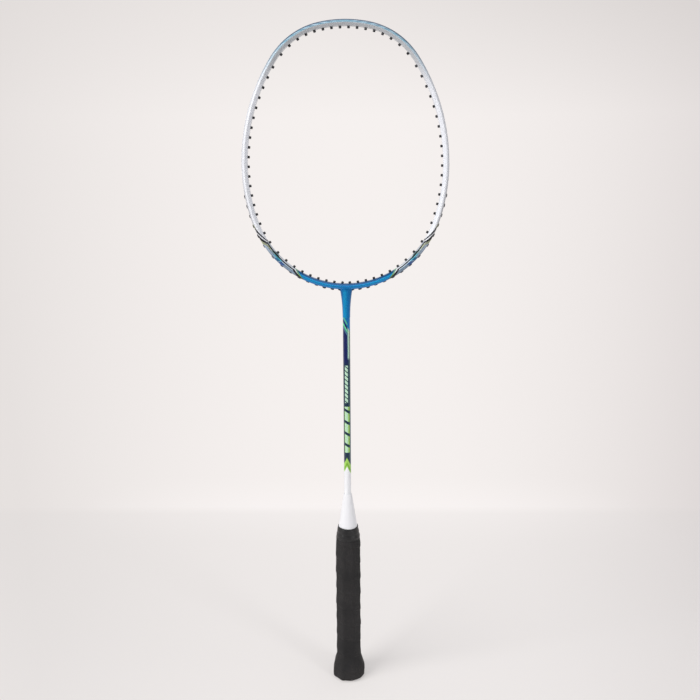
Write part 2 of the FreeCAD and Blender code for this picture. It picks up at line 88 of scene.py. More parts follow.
# ---- handle wrap
cone_low, cone_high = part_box("cone_cap")
wrap_low, wrap_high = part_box("grip_tape")
band_low, band_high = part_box("finishing_tape")
flat_half_width = 12.85 * MM
flat_half_depth = 11.95 * MM
flat_bevel = 7.22 * MM
flat_softness = 22.0
flare_top_z = 26.0 * MM
flare_widest_z = 5.5 * MM
flare_growth = 4.15 * MM
flare_power = 1.3
foot_round_z = 3.2 * MM
foot_round_in = 1.1 * MM
wrap_top_z = cone_low.z - 0.3 * MM
cone_foot_radius = cone_high.x
taper_slope = 0.13
taper_curve = 2.4
core_taper_low_z = 150.0 * MM
core_foot_radius = 15.08 * MM
core_top_radius = 9.4 * MM
gap_round_core = 0.1 * MM
gap_round_cone = 0.15 * MM
tape_thickness = 1.45 * MM
wrap_pitch = 18.4 * MM
overlap_height = 0.36 * MM
overlap_rise = 1.1 * MM
overlap_level = 3.0 * MM
overlap_gone = 9.0 * MM
edge_dip = 0.16 * MM
edge_dip_before = 2.2 * MM
edge_dip_after = 0.25 * MM
steps_fade_low = 7.0 * MM
steps_fade_high = 6.0 * MM
film_thickness = 0.32 * MM
film_inside = 0.1 * MM
tape_steps = (0.0, 0.12, 0.3, 0.5, 0.8, 1.5, 3.0, 4.4, 5.8, 7.4, 9.0, 11.5, 14.0, 16.0, 17.3, 18.1)
columns_per_turn = 160

# ---- studio
room_light = 0.34
room_colour = (0.93, 0.94, 0.97, 1.0)
dim_room = (0.3, 0.3, 0.31, 1.0)
# line on the flat floor where a paper bend is painted: a painted sheen, and glow beyond
painted_bend_at = 0.37
outlook_from = (0.0136, -0.736, 0.538)
floor_rings = (0.0, 0.1, 0.2, 0.3, 0.4, 0.6, 0.9, 1.4, 2.2, 4.0, 9.0)
# each lamp's place, target, size, watts and colour
lamps = {
    "key": ((-1.5, -1.0, 1.35), (0.0, 0.0, 0.38), (1.3, 1.3), 33.0, (1.0, 0.994, 0.988)),
    "fill": ((1.4, -1.3, 0.95), (0.0, 0.0, 0.35), (0.4, 1.1), 8.5, (0.99, 0.995, 1.0)),
    "overhead": ((0.1, -0.2, 2.1), (0.0, 0.05, 0.0), (1.6, 1.4), 9.0, (1.0, 1.0, 1.0)),
}
camera_place = (13.54 * MM, -736.2 * MM, 538.0 * MM)
camera_down = math.radians(13.057)
camera_yaw = math.radians(0.794)
camera_roll = math.radians(0.371)
# half the view's width as a share of the distance at which it is that wide
half_view_share = 350.0 / 757.0


# ==== numbers and colours
def tint(red, green, blue):
    """Linear colour of a paint that reads as these 0 to 255 values on a screen."""
    shares = np.array([red, green, blue]) / 255.0
    linear = np.where(shares <= 0.04045, shares / 12.92, ((shares + 0.055) / 1.055) ** 2.4)
    return (*[float(v) for v in linear], 1.0)


def ease(low, high, value):
    """Smooth step: 0 below low, 1 above high, 3t^2 - 2t^3 between."""
    t = np.clip((value - low) / (high - low), 0.0, 1.0)
    return t * t * (3.0 - 2.0 * t)


# ==== arithmetic on shader sockets
def plug(socket, value):
    """Puts a number, a colour or another node's output into a socket."""
    if isinstance(value, Field):
        value = value.socket
    if isinstance(value, bpy.types.NodeSocket):
        socket.id_data.links.new(value, socket)
    else:
        socket.default_value = value


def added(tree, kind, inputs, **settings):
    """Outputs of a new node of a kind, with a value for some of its inputs, and its settings."""
    node = tree.nodes.new("ShaderNode" + kind)
    for name, value in settings.items():
        setattr(node, name, value)
    for label, value in inputs.items():
        plug(node.inputs[label], value)
    return node.outputs


class Field:
    """A number that varies over a surface: one node output, with ordinary arithmetic."""

    def __init__(self, socket):
        self.socket = socket
        self.tree = socket.id_data

    def math(self, operation, *others):
        return Field(added(self.tree, "Math", dict(enumerate((self, *others))), operation=operation)[0])

    def __add__(self, other):
        return self.math("ADD", other)

    def __sub__(self, other):
        return self.math("SUBTRACT", other)

    def __mul__(self, other):
        return self.math("MULTIPLY", other)

    def __truediv__(self, other):
        return self.math("DIVIDE", other)

    def size(self):
        return self.math("ABSOLUTE")

    def part(self):
        """What is left after the whole number, so a pattern repeats at each whole."""
        return self.math("FRACT")

    def invert(self):
        return (self * -1.0) + 1.0

    def above(self, edge, soft):
        """1 where the number is past edge, 0 before it, with a ramp of width soft."""
        inputs = {"Value": self - edge, "From Min": -soft / 2, "From Max": soft / 2}
        return Field(added(self.tree, "MapRange", inputs, clamp=True)["Result"])

    def below(self, edge, soft):
        return self.above(edge, soft).invert()

    def within(self, low, high, soft):
        """1 between low and high, 0 outside, with ramps of width soft."""
        return self.above(low, soft) * self.below(high, soft)


def mixed(base, over, mask):
    """Colour over laid on colour base where mask is 1."""
    return added(mask.tree, "Mix", {"Factor": mask, "A": base, "B": over}, data_type="RGBA")["Result"]


def layered(base, *layers):
    """Colour base with each layer's colour laid on it in turn where that layer's mask is 1."""
    for over, mask in layers:
        base = mixed(base, over, mask)
    return base


def chosen(mask, otherwise, value):
    """Field that is value where mask is 1 and otherwise where it is 0."""
    return otherwise + mask * (value - otherwise)


def noise(vector, scale, detail=2.0, roughness=0.5):
    inputs = {"Vector": vector, "Scale": scale, "Detail": detail, "Roughness": roughness}
    return Field(added(vector.id_data, "TexNoise", inputs)["Fac"])


def cells_of(vector, scale, output, **settings):
    """One output of a pattern of cells, each round its own scattered point."""
    return added(vector.id_data, "TexVoronoi", {"Vector": vector, "Scale": scale}, **settings)[output]


def stretched(vector, *scale):
    """Coordinates scaled apart along each axis, so that a pattern on them runs long and thin."""
    return added(vector.id_data, "Mapping", {"Vector": vector, "Scale": scale})["Vector"]


def parts_of(vector):
    return [Field(output) for output in added(vector.id_data, "SeparateXYZ", {"Vector": vector})]


def distance(x, y):
    """Length of the flat vector with these two parts."""
    return (x * x + y * y).math("SQRT")


def effect(name, inputs, outputs):
    """Empty node group; returns its tree, its inputs as sockets and a function that sets an output.

    Each input's default tells its kind: None is a place, four numbers a colour, one number a number.
    Each output is given with its kind.
    """
    tree = bpy.data.node_groups.new(name, "ShaderNodeTree")
    for label, default in inputs.items():
        kind = "Vector" if default is None else "Color" if isinstance(default, tuple) else "Float"
        socket = tree.interface.new_socket(label, in_out="INPUT", socket_type="NodeSocket" + kind)
        if default is not None:
            socket.default_value = default
    for label, kind in outputs.items():
        tree.interface.new_socket(label, in_out="OUTPUT", socket_type="NodeSocket" + kind)
    entry = tree.nodes.new("NodeGroupInput")
    leave = tree.nodes.new("NodeGroupOutput")

    def give(label, value):
        plug(leave.inputs[label], value)

    return tree, entry.outputs, give


def placed(group, first, **values):
    """A group's node, with the value for its first input; each keyword sets the input of that name."""
    return dict(added(first.id_data, "Group", {0: first, **values}, node_tree=group).items())


def finish_of(name, metallic=0.0, roughness=0.5, coat=0.0, coat_roughness=0.05, specular=0.5):
    """New material; returns it, its shader and its Object coordinates."""
    material = bpy.data.materials.new(name)
    material.use_nodes = True
    shader = material.node_tree.nodes["Principled BSDF"]
    for label, value in (("Metallic", metallic), ("Roughness", roughness), ("Coat Weight", coat),
                         ("Coat Roughness", coat_roughness), ("Specular IOR Level", specular)):
        shader.inputs[label].default_value = value
    return material, shader, added(material.node_tree, "TexCoord", {})["Object"]


def dressed(shader, wear, depth, strength=1.0):
    """Joins a colour, a height that is scaled to a depth, and perhaps a roughness to a shader."""
    bumps = {"Distance": depth, "Strength": strength, "Height": wear["Height"]}
    plug(shader.inputs["Normal"], added(shader.id_data, "Bump", bumps)["Normal"])
    plug(shader.inputs["Base Color"], wear["Colour"])
    if "Roughness" in wear:
        plug(shader.inputs["Roughness"], wear["Roughness"])


# ==== effects shared by several finishes
worn_outputs = {"Colour": "Color", "Roughness": "Float", "Height": "Float"}


def lacquer_life():
    """Lacquer that isn't quite flat: a faint ripple, hazy patches, fine scuffs and a little dust."""
    inputs = {"Place": None, "Colour": (0.8, 0.8, 0.8, 1.0), "Gloss": 0.25, "Scuffs": 0.4}
    tree, given, give = effect("lacquer_life", inputs, worn_outputs)
    ripple = noise(given["Place"], 420.0, 1.0)
    haze = noise(given["Place"], 70.0, 4.0, 0.6)
    scratch = noise(stretched(given["Place"], 2600.0, 2600.0, 160.0), 1.0, 1.0)
    scuff = scratch.above(0.68, 0.03) * haze.above(0.55, 0.12) * Field(given["Scuffs"])
    dust = noise(given["Place"], 2400.0, 2.0).above(0.74, 0.05) * 0.05
    give("Colour", layered(given["Colour"], (tint(225, 226, 228), scuff * 0.12), (tint(200, 198, 194), dust)))
    give("Roughness", Field(given["Gloss"]) + (haze - 0.5) * 0.16 + scuff * 0.3 + dust)
    give("Height", ripple * 0.6 - scuff * 0.1)
    return tree


def metal_flake_glints():
    """Metallic flake under lacquer: tiny plates, each a little lighter or darker than the paint; the lighter
    ones are painted glints, the darker ones painted shade.
    """
    inputs = {"Place": None, "Colour": (0.1, 0.2, 0.6, 1.0), "Glint": (0.4, 0.7, 1.0, 1.0), "Amount": 0.5}
    tree, given, give = effect("metal_flake_glints", inputs, {"Colour": "Color"})
    plate = parts_of(cells_of(given["Place"], 5200.0, "Color"))[0]
    amount = Field(given["Amount"])
    # painted glints on the lighter plates, painted shade on the darker ones
    give("Colour", layered(given["Colour"], (given["Glint"], plate.above(0.82, 0.1) * amount),
                           ((0.0, 0.0, 0.0, 1.0), plate.below(0.25, 0.2) * amount * 0.5)))
    return tree


def moulding_grain():
    """Spark-eroded grain of a moulded plastic: fine pits, patchy sheen and grey rub marks."""
    inputs = {"Place": None, "Colour": (0.05, 0.05, 0.05, 1.0), "Rub": (0.2, 0.2, 0.2, 1.0), "Gloss": 0.45,
              "Grain": 1500.0}
    tree, given, give = effect("moulding_grain", inputs, worn_outputs)
    patches = noise(given["Place"], 260.0, 3.0)
    give("Colour", mixed(given["Colour"], given["Rub"], patches.above(0.56, 0.2) * 0.45))
    give("Roughness", Field(given["Gloss"]) + (patches - 0.5) * 0.3)
    give("Height", noise(given["Place"], given["Grain"], 3.0))
    return tree


lacquer = lacquer_life()
flake = metal_flake_glints()
grain = moulding_grain()


# ==== the hoop's paint
def circles_meet(ax, az, ar, bx, bz, br):
    """Higher of the two points where two circles, given by centre and radius, cross."""
    dx, dz = bx - ax, bz - az
    apart = math.hypot(dx, dz)
    along = (apart ** 2 + ar ** 2 - br ** 2) / (2 * apart)
    across = math.sqrt(ar ** 2 - along ** 2)
    points = [(ax + (along * dx - turn * across * dz) / apart, az + (along * dz + turn * across * dx) / apart)
              for turn in (1, -1)]
    return max(points, key=lambda point: point[1])


def outline_arcs():
    """Right half of the hoop's outer face from the top down: centre x and z, radius, high and low angle."""
    widest_z = top_z - widest_below_top
    drop = widest_z - throat_z
    top_r = outline_roundness["top"] * half_width ** 2 / widest_below_top
    shoulder_r = outline_roundness["shoulder"] * half_width ** 2 / widest_below_top
    upper_r = outline_roundness["upper_side"] * widest_below_top ** 2 / half_width
    lower_r = outline_roundness["lower_side"] * drop ** 2 / half_width
    bottom_r = (2 * half_width * lower_r - half_width ** 2 - drop ** 2) / (2 * (lower_r - drop))
    upper_x = half_width - upper_r
    lower_x = half_width - lower_r
    knee_x, knee_z = circles_meet(0.0, top_z - top_r, top_r - shoulder_r,
                                  upper_x, widest_z, upper_r - shoulder_r)
    top_end = math.atan2(knee_z - top_z + top_r, knee_x)
    knee_end = math.atan2(knee_z - widest_z, knee_x - upper_x)
    bottom_start = math.atan2(throat_z + bottom_r - widest_z, -lower_x)
    return [(0.0, top_z - top_r, top_r, QUARTER_TURN, top_end),
            (knee_x, knee_z, shoulder_r, top_end, knee_end),
            (upper_x, widest_z, upper_r, knee_end, 0.0),
            (lower_x, widest_z, lower_r, 0.0, bottom_start),
            (0.0, throat_z + bottom_r, bottom_r, bottom_start, -QUARTER_TURN)]


def hoop_places():
    """Where a point of the hoop lies, in millimetres: along it from the top, and out from its inner face."""
    tree, given, give = effect("hoop_places", {"Place": None}, {"Along": "Float", "Out": "Float"})
    x, _, z = parts_of(given["Place"])
    x = x.size()
    travelled = 0.0
    along = out = None
    for cx, cz, radius, high, low in outline_arcs():
        dx, dz = x - cx, z - cz
        angle = dz.math("ARCTAN2", dx)
        here_along = (angle * -1.0 + high) * (radius / MM) + travelled
        here_out = (distance(dx, dz) - (radius - hoop_thickness)) * (1.0 / MM)
        if along is None:
            along, out = here_along, here_out
        else:
            past = angle.math("LESS_THAN", high)
            along, out = chosen(past, along, here_along), chosen(past, out, here_out)
        travelled += radius / MM * (high - low)
    give("Along", along)
    give("Out", out.math("MINIMUM", hoop_thickness / MM))
    return tree


pearl = tint(229, 231, 237)
# painted shade of the white, for the inner bevel down the sides
painted_pearl_shade = tint(200, 203, 212)
# painted shade of the white, for the hoop's outer and inner edges
painted_edge_shade = tint(196, 197, 202)
edge_shade = tint(164, 165, 170)
# silvery grey paint, darkened further as painted shade for the top's downward-facing inside
silver_and_painted_shade = tint(179, 182, 186)
sky = tint(120, 164, 184)
frost = tint(186, 204, 222)
throat_blue = tint(4, 122, 192)
# painted highlight on the throat's blue
throat_painted_highlight = tint(14, 160, 214)
# painted shade on the throat's blue
throat_painted_shade = tint(2, 76, 128)
throat_glint = tint(20, 150, 225)
edge_navy = tint(62, 76, 100)
ink = tint(8, 10, 18)
deep_green = tint(44, 92, 78)
lime = tint(158, 206, 92)
band_lime = tint(116, 160, 62)
band_mint = tint(96, 150, 126)
olive = tint(148, 154, 120)
stripe_grey = tint(120, 146, 172)
pale_line = tint(190, 206, 214)
stripe_blue = tint(70, 112, 140)
patch_navy = tint(40, 80, 138)
patch_teal = tint(22, 94, 134)
patch_sky = tint(70, 170, 196)

# Places along the hoop, in millimetres from the top's middle, where each mark would meet the inner face,
# and how far each leans along it per millimetre out.
dark_one = (257.1, 3.1)
dark_two = (261.6, 2.2)
dark_last = (293.1, -2.55)
fringe_at = (255.1, 3.1)
band_place, band_lean = 298.9, -1.9
band_half = 1.2
level_out = -2.24
level_rise = 0.012
metal_share = 0.45


def stroke(along, out, mark, half, growth, soft=0.5):
    """A slanting brush stroke: half wide at the hoop's inner face, wider by growth per millimetre out."""
    place, lean = mark
    off = (along + out * lean - place).size()
    return (off - out * growth).below(half, soft)


# In the drawings below, each mask says where its colour lies: above, below or within places along the
# hoop and distances out from its inner face, in millimetres, each followed by the softness of its edge.
def top_colour(along, out):
    """White, silvery grey inside the top under a sky-blue band that breaks into streaks, with a dark rim; the
    grey and the rim are partly painted shade, and painted shade darkens the edges and the inner bevel down
    the sides.
    """
    slant = ((along - out * 4.0) * (1.0 / 9.0)).part()
    streaks = slant.within(0.3, 0.6, 0.16) * out.above(2.9, 0.5)
    slashes = slant.above(0.66, 0.16) * out.above(3.3, 0.5)
    return layered(
        pearl,
        # inside the top: silvery grey, partly paint and partly painted shade
        (silver_and_painted_shade, along.below(96.0, 34.0) * out.below(3.0, 1.6)),
        # painted shade on the inner bevel down the sides
        (painted_pearl_shade, out.within(1.5, 2.3, 0.5) * along.within(104.0, 150.0, 24.0) * 0.25),
        # painted shade along the outer edge below the top
        (painted_edge_shade, out.above(4.3, 1.2) * along.above(84.0, 30.0) * 0.8),
        # deeper painted shade along the outer edge low on the sides
        (edge_shade, out.above(4.2, 1.0) * along.within(204.0, 252.0, 30.0) * 0.8),
        # painted shade along the inner edge on the sides
        (painted_edge_shade, out.below(0.6, 0.8) * along.within(100.0, 142.0, 20.0) * 0.3),
        (sky, out.above(2.6, 0.7) * along.below(82.0, 44.0)),
        (frost, streaks * along.within(9.0, 36.0, 6.0) * 0.8),
        (pearl, streaks * along.within(36.0, 100.0, 24.0) * 0.45),
        (edge_navy, slashes * along.within(7.0, 40.0, 8.0) * 0.7),
        # navy rim round the top's outer edge: partly paint, partly painted shade of the outer face
        (edge_navy, out.above(4.3, 0.7) * along.below(84.0, 60.0) * 0.9))


def shoulder_lines(colour, along, out):
    """Fine lines along the shoulder between the two dark strokes, with olive, teal, navy and green marks."""
    past_start = (along + out * 2.2).above(264.0, 1.6)
    before_end = (along - out * 2.55).below(290.4, 1.6)
    lined = past_start * before_end * out.above(1.2, 0.3)
    fine = (out * 0.8 + 0.35).part().within(0.25, 0.75, 0.3)
    slide = along + out * 0.8
    wedge = (along - 273.5).size() - out * 1.6
    return layered(
        colour,
        (stripe_grey, lined * 0.75),
        (stripe_blue, lined * fine * along.above(268.0, 10.0) * 0.8),
        (edge_navy, lined * out.within(2.7, 3.2, 0.25) * 0.7),
        (pale_line, lined * out.within(1.75, 2.4, 0.3) * 0.75),
        (pale_line, lined * out.within(3.5, 3.8, 0.25) * along.below(274.0, 6.0) * 0.5),
        (edge_navy, lined * out.above(4.7, 0.5) * along.above(266.0, 8.0) * 0.7),
        (olive, (along + out * 1.2).within(258.5, 264.0, 1.2) * out.above(2.2, 0.6) * past_start),
        (olive, lined * out.below(2.5, 0.6) * along.below(267.0, 6.0)),
        (patch_sky, (along + out * 1.4).within(275.5, 285.0, 2.0) * out.within(1.7, 3.0, 0.6)),
        (patch_teal, slide.within(278.6, 283.0, 0.9) * out.above(2.7, 0.5)),
        (patch_navy, slide.within(284.2, 289.0, 0.9) * out.above(2.5, 0.5)),
        (deep_green, wedge.below(2.6, 1.2) * out.below(2.2, 0.6) * 0.85))


def past_band(along, out):
    """Distance along the hoop past the middle of the slanting lime band, where the blue begins."""
    return along + out * band_lean - band_place


def hoop_colour(along, out):
    """White hoop, sky blue at the top, dark strokes and fine lines on its shoulders, blue at the throat with
    a painted highlight along its middle and painted shade at its edges.
    """
    level = (out - along * level_rise).within(level_out - 0.45, level_out + 0.5, 0.3)
    blue = layered(
        throat_blue,
        # painted highlight along the middle of the blue
        (throat_painted_highlight, out.within(1.8, 3.4, 1.2) * along.below(338.0, 34.0) * 0.9),
        # painted shade along the blue's inner edge, and fainter along its outer edge
        (throat_painted_shade, out.below(1.5, 0.7)),
        (throat_painted_shade, out.within(5.1, 5.45, 0.3) * 0.5))
    past = past_band(along, out)
    band = past.within(-band_half, 1.3, 0.5)
    return layered(
        shoulder_lines(top_colour(along, out), along, out),
        (stripe_blue, along.within(258.0, 298.0, 3.0) * out.within(-0.6, 0.35, 0.35) * 0.5),
        (ink, level * along.within(258.0, 297.5, 1.5)),
        (blue, past.above(band_half, 0.5)),
        (band_lime, band),
        (band_mint, band * out.below(2.4, 1.4) * 0.85),
        (ink, stroke(along, out, dark_last, 1.15, 0.5) * out.above(1.1, 0.3)),
        (olive, stroke(along, out, fringe_at, 0.3, 0.5) * out.above(4.0, 0.8) * 0.9),
        (ink, stroke(along, out, dark_one, 1.1, 0.4) * out.below(5.1, 0.7)),
        (ink, stroke(along, out, dark_two, 1.0, 0.44) * out.above(0.8, 0.3)))


def lacquered(shader, place, drawn, blue, amount, gloss, scuffs):
    """Lacquer over a drawing, with flake and metal only where it is blue."""
    flaked = placed(flake, place, Colour=drawn, Glint=throat_glint, Amount=amount)
    aged = placed(lacquer, place, Colour=mixed(drawn, flaked["Colour"], blue), Gloss=gloss, Scuffs=scuffs)
    plug(shader.inputs["Metallic"], blue * metal_share)
    dressed(shader, aged, 0.004 * MM)


def hoop_paint():
    """Lacquered hoop and neck: the drawing by place along and across the hoop, and a blue neck with a painted
    highlight down it and painted shade at its sides.
    """
    material, shader, place = finish_of("hoop_lacquer", coat=0.4, coat_roughness=0.14, specular=0.2)
    along, out = (Field(output) for output in placed(hoop_places(), place).values())
    x, _, z = parts_of(place)
    neck = layered(
        throat_blue,
        # painted highlight down the neck, just left of its middle
        (throat_painted_highlight, x.within(-3.2 * MM, 0.4 * MM, 2.2 * MM) * 0.8),
        # painted shade down the neck's sides
        (throat_painted_shade, x.size().above(3.4 * MM, 1.6 * MM) * 0.6))
    drawn = mixed(hoop_colour(along, out), neck, z.below(throat_z - 1.0 * MM, 2.5 * MM))
    blue = (along + out * band_lean).above(band_place + band_half, 0.5)
    lacquered(shader, place, drawn, blue, 0.22, 0.3, 0.35)
    return material


# ==== the shaft's paint
def shaft_paint():
    """Blue, navy and white shaft: the front half's drawing, repeated turned half round on the back.

    Up is the height and across the distance to the viewer's right, in millimetres. Drop is a height that
    falls from left to right, for the slanting ends of the blue and the green lines under it.
    """
    material, shader, place = finish_of("shaft_lacquer", coat=0.7, coat_roughness=0.08, specular=0.2)
    x, y, z = parts_of(place)
    across = x * (y.math("SIGN") * -1.0) * (1.0 / MM)
    up = z * (1.0 / MM)
    drop = up + across * 1.9
    pale = up.within(359.0, 394.0, 3.0)
    left = across.below(0.9, 0.3)
    left_soft = across.below(0.9, 0.4)
    tick = (up * 0.22 + across * 0.2).part().within(0.1, 0.82, 0.08)
    bar = (up * 0.082 + across * 0.05).part().within(0.1, 0.84, 0.05)
    bars = bar * across.within(-2.5, 2.5, 0.3) * up.within(260.0, 309.0, 0.4)
    chevron = up + (across + 0.4).size() * 2.2
    white = tint(236, 237, 240)
    pale_green = tint(186, 222, 196)
    slash_green = tint(96, 204, 150)
    drawn = layered(
        white,
        (tint(6, 22, 84), up.above(246.0, 0.6)),
        (tint(14, 46, 62), up.within(200.0, 354.0, 8.0) * 0.85),
        (tint(48, 84, 96), across.above(1.7, 0.5) * up.within(246.0, 362.0, 10.0) * 0.8),
        (stripe_blue, across.within(0.6, 1.5, 0.5) * pale * 0.6),
        (pale_green, across.within(1.25, 2.5, 0.3) * pale),
        (tint(122, 140, 128), across.above(2.5, 0.3) * pale),
        (throat_blue, drop.above(393.0, 0.6)),
        (deep_green, drop.within(386.5, 390.0, 0.8) * left),
        (stripe_blue, drop.within(383.6, 386.2, 0.6) * left_soft),
        (slash_green, drop.within(386.8, 389.4, 0.6) * left_soft),
        (slash_green, drop.within(394.2, 396.8, 0.6) * left_soft),
        (pale_green, tick * across.within(-1.9, 1.1, 0.3) * up.within(313.0, 352.0, 0.4)),
        (lime, bars),
        (pale_green, bars * across.within(-2.1, 1.0, 0.8) * 0.9),
        (lime, chevron.below(254.5, 0.5)),
        (tint(120, 176, 50), chevron.within(246.5, 249.5, 0.6)),
        (white, chevron.below(244.8, 0.6)))
    blue = drop.above(393.0, 0.6) * up.below(neck_end_z / MM, 0.2)
    lacquered(shader, place, drawn, blue, 0.2, 0.28, 0.3)
    return material


# ==== plain finishes
def cone_white():
    """White moulding with a parting line down each side."""
    material, shader, place = finish_of("cone_white", coat=0.5, coat_roughness=0.12)
    parting = parts_of(place)[1].within(-0.12 * MM, 0.12 * MM, 0.1 * MM)
    colour = mixed(tint(236, 236, 239), tint(205, 205, 210), parting * 0.6)
    aged = placed(lacquer, place, Colour=colour, Gloss=0.36, Scuffs=0.5)
    dressed(shader, {**aged, "Height": Field(aged["Height"]) * 0.2 + parting}, 0.03 * MM)
    return material


# each moulding's finish, colour, colour where rubbed, gloss, grains per metre and depth of its grain
mouldings = {
    "grommet_nylon": ("grommet_nylon", tint(34, 34, 37), tint(84, 84, 88), 0.42, 2600.0, 0.02 * MM),
    "moulded_joint": ("joint_moulding", tint(52, 52, 56), tint(96, 96, 100), 0.55, 1200.0, 0.04 * MM),
    "butt_plastic": ("butt_moulding", tint(36, 36, 38), tint(80, 80, 82), 0.5, 1500.0, 0.04 * MM),
    "cover_plastic": ("cover_moulding", tint(44, 44, 46), tint(92, 92, 94), 0.4, 900.0, 0.05 * MM),
}


def moulded(name, colour, rub, gloss, grains, depth):
    """Moulded plastic in one colour, paler where it is rubbed."""
    material, shader, place = finish_of(name)
    dressed(shader, placed(grain, place, Colour=colour, Rub=rub, Gloss=gloss, Grain=grains), depth)
    return material


def bare_wood():
    """Machined light wood: rings stretched along the handle, with darker pores."""
    material, shader, place = finish_of("handle_wood", roughness=0.7)
    rings = noise(stretched(place, 260.0, 260.0, 9.0), 1.0, 5.0, 0.6)
    pores = noise(stretched(place, 2600.0, 2600.0, 70.0), 1.0, 2.0).above(0.62, 0.08)
    colour = layered(tint(214, 184, 140), (tint(178, 138, 92), rings), (tint(120, 88, 56), pores * 0.5))
    dressed(shader, {"Colour": colour, "Height": pores * -1.0}, 0.06 * MM)
    return material


def plated_wire():
    """Plated staple wire, drawn lengthways."""
    material, shader, place = finish_of("staple_plate", metallic=1.0)
    drawn = noise(stretched(place, 90.0, 4200.0, 4200.0), 1.0, 2.0)
    colour = mixed(tint(150, 152, 156), tint(205, 206, 210), drawn)
    dressed(shader, {"Colour": colour, "Roughness": drawn * 0.25 + 0.22, "Height": drawn}, 0.02 * MM)
    return material


def adhesive():
    """Double-sided strip: yellowish film over a faint crossed scrim of threads."""
    material, shader, place = finish_of("adhesive_film", roughness=0.4)
    threads_per_metre = 900.0
    x, _, z = parts_of(place)
    down, across = ((way * threads_per_metre).part().within(0.1, 0.4, 0.1) for way in (x, z))
    threads = down.math("MAXIMUM", across)
    colour = mixed(tint(226, 220, 198), tint(204, 196, 170), threads)
    dressed(shader, {"Colour": colour, "Height": threads}, 0.03 * MM)
    return material


def grip_leather():
    """Black synthetic leather along the tape's own length: fine grain, tiny perforations, hand polish."""
    material, shader, place = finish_of("grip_leather", specular=0.35)
    tape = added(shader.id_data, "UVMap", {}, uv_map="tape")["UV"]
    along, across, _ = parts_of(tape)
    per_hole = 1.0 / 1.7
    row = (across * per_hole).math("FLOOR")
    dx = (along * per_hole + row * 0.5).part() - 0.5
    dy = (across * per_hole).part() - 0.5
    hole = distance(dx, dy).below(0.11, 0.08)
    wrinkle = noise(place, 620.0, 6.0, 0.62)
    pebble = Field(cells_of(place, 1300.0, "Distance", feature="DISTANCE_TO_EDGE")).above(0.08, 0.14)
    polish = noise(place, 34.0, 4.0, 0.55)
    crease = noise(stretched(tape, 0.42, 0.09, 1.0), 1.0, 3.0, 0.55)
    fold = (crease - 0.5).size().below(0.022, 0.03) * polish.above(0.46, 0.12)
    colour = layered(
        tint(30, 29, 30),
        (tint(42, 40, 41), polish.above(0.5, 0.3)),
        (tint(56, 52, 50), fold * 0.5),
        # painted shade in the low edges between grain cells
        (tint(20, 19, 20), pebble.invert() * 0.5),
        # painted shade in the perforations
        (tint(12, 12, 12), hole * 0.6))
    height = wrinkle * 0.5 + pebble * 0.5 - hole * 1.2 - fold * 1.6 + crease * 1.8
    dressed(shader, {"Colour": colour, "Roughness": polish * -0.3 + 0.86, "Height": height}, 0.12 * MM, 0.9)
    return material


def finishing_film():
    """Thin black film with a slight sheen, stretched round the wrap's end, creased along its length."""
    material, shader, place = finish_of("finishing_film", specular=0.5)
    crease = noise(stretched(place, 140.0, 140.0, 900.0), 1.0, 4.0, 0.6)
    scuff = noise(place, 420.0, 3.0).above(0.58, 0.14)
    colour = mixed(tint(20, 19, 20), tint(44, 43, 43), scuff * 0.5)
    dressed(shader, {"Colour": colour, "Roughness": crease * 0.4 + 0.2, "Height": crease}, 0.45 * MM, 0.8)
    return material


def finishes():
    """Material for each of the record's slots."""
    made = {slot: moulded(*values) for slot, values in mouldings.items()}
    made.update(frame_paint=hoop_paint(), shaft_paint=shaft_paint(), cone_plastic=cone_white(),
                handle_wood=bare_wood(), staple_steel=plated_wire(), adhesive_film=adhesive(),
                grip_leather=grip_leather(), finishing_film=finishing_film())
    return made


def dress_nodes(materials):
    """Each CAD node gets the finish of its slot in the record."""
    for part in frame["record"]["subparts"]:
        node = frame["nodes"][part["node"]]
        node.data.materials.clear()
        node.data.materials.append(materials[part["material_slot"]])


# ==== meshes from grids
def ring_points(radius, turn, z):
    """Points at a distance from the upright axis, an angle round it and a height."""
    return np.stack(np.broadcast_arrays(radius * np.cos(turn), radius * np.sin(turn), z), axis=-1)


def grid_faces(columns, rows, joined_columns):
    """Quads of a grid stored row by row; joined_columns closes the last column to the first."""
    across = np.arange(columns if joined_columns else columns - 1)
    up = np.arange(rows - 1)[:, None]
    here = up * columns + across
    beside = up * columns + (across + 1) % columns
    return np.stack([here, beside, beside + columns, here + columns], axis=-1).reshape(-1, 4)


def smoothed(mesh):
    mesh.polygons.foreach_set("use_smooth", np.ones(len(mesh.polygons), bool))


def mesh_piece(name, points, faces, material, uv=None):
    """Smooth object with its place in its mesh; uv gives a pair per face corner."""
    mesh = bpy.data.meshes.new(name)
    mesh.from_pydata(points.reshape(-1, 3).tolist(), [], faces.tolist())
    if uv is not None:
        layer = mesh.uv_layers.new(name="tape")
        layer.data.foreach_set("uv", uv.astype(np.float32).ravel())
    smoothed(mesh)
    mesh.materials.append(material)
    piece = bpy.data.objects.new(name, mesh)
    bpy.context.scene.collection.objects.link(piece)
    return piece


def closed_up(piece, reach):
    """Merges points nearer than reach, drops the faces that this flattens, and turns all faces outwards."""
    shape = bmesh.new()
    shape.from_mesh(piece.data)
    bmesh.ops.remove_doubles(shape, verts=shape.verts, dist=reach)
    bmesh.ops.dissolve_degenerate(shape, edges=shape.edges, dist=reach)
    bmesh.ops.recalc_face_normals(shape, faces=shape.faces)
    shape.to_mesh(piece.data)
    shape.free()
    smoothed(piece.data)


# ==== hoop and neck
def arc_starts(arcs):
    """Distance along the outer face from the top to each arc's start, and to the end."""
    return np.concatenate([[0.0], np.cumsum([radius * (high - low) for _, _, radius, high, low in arcs])])


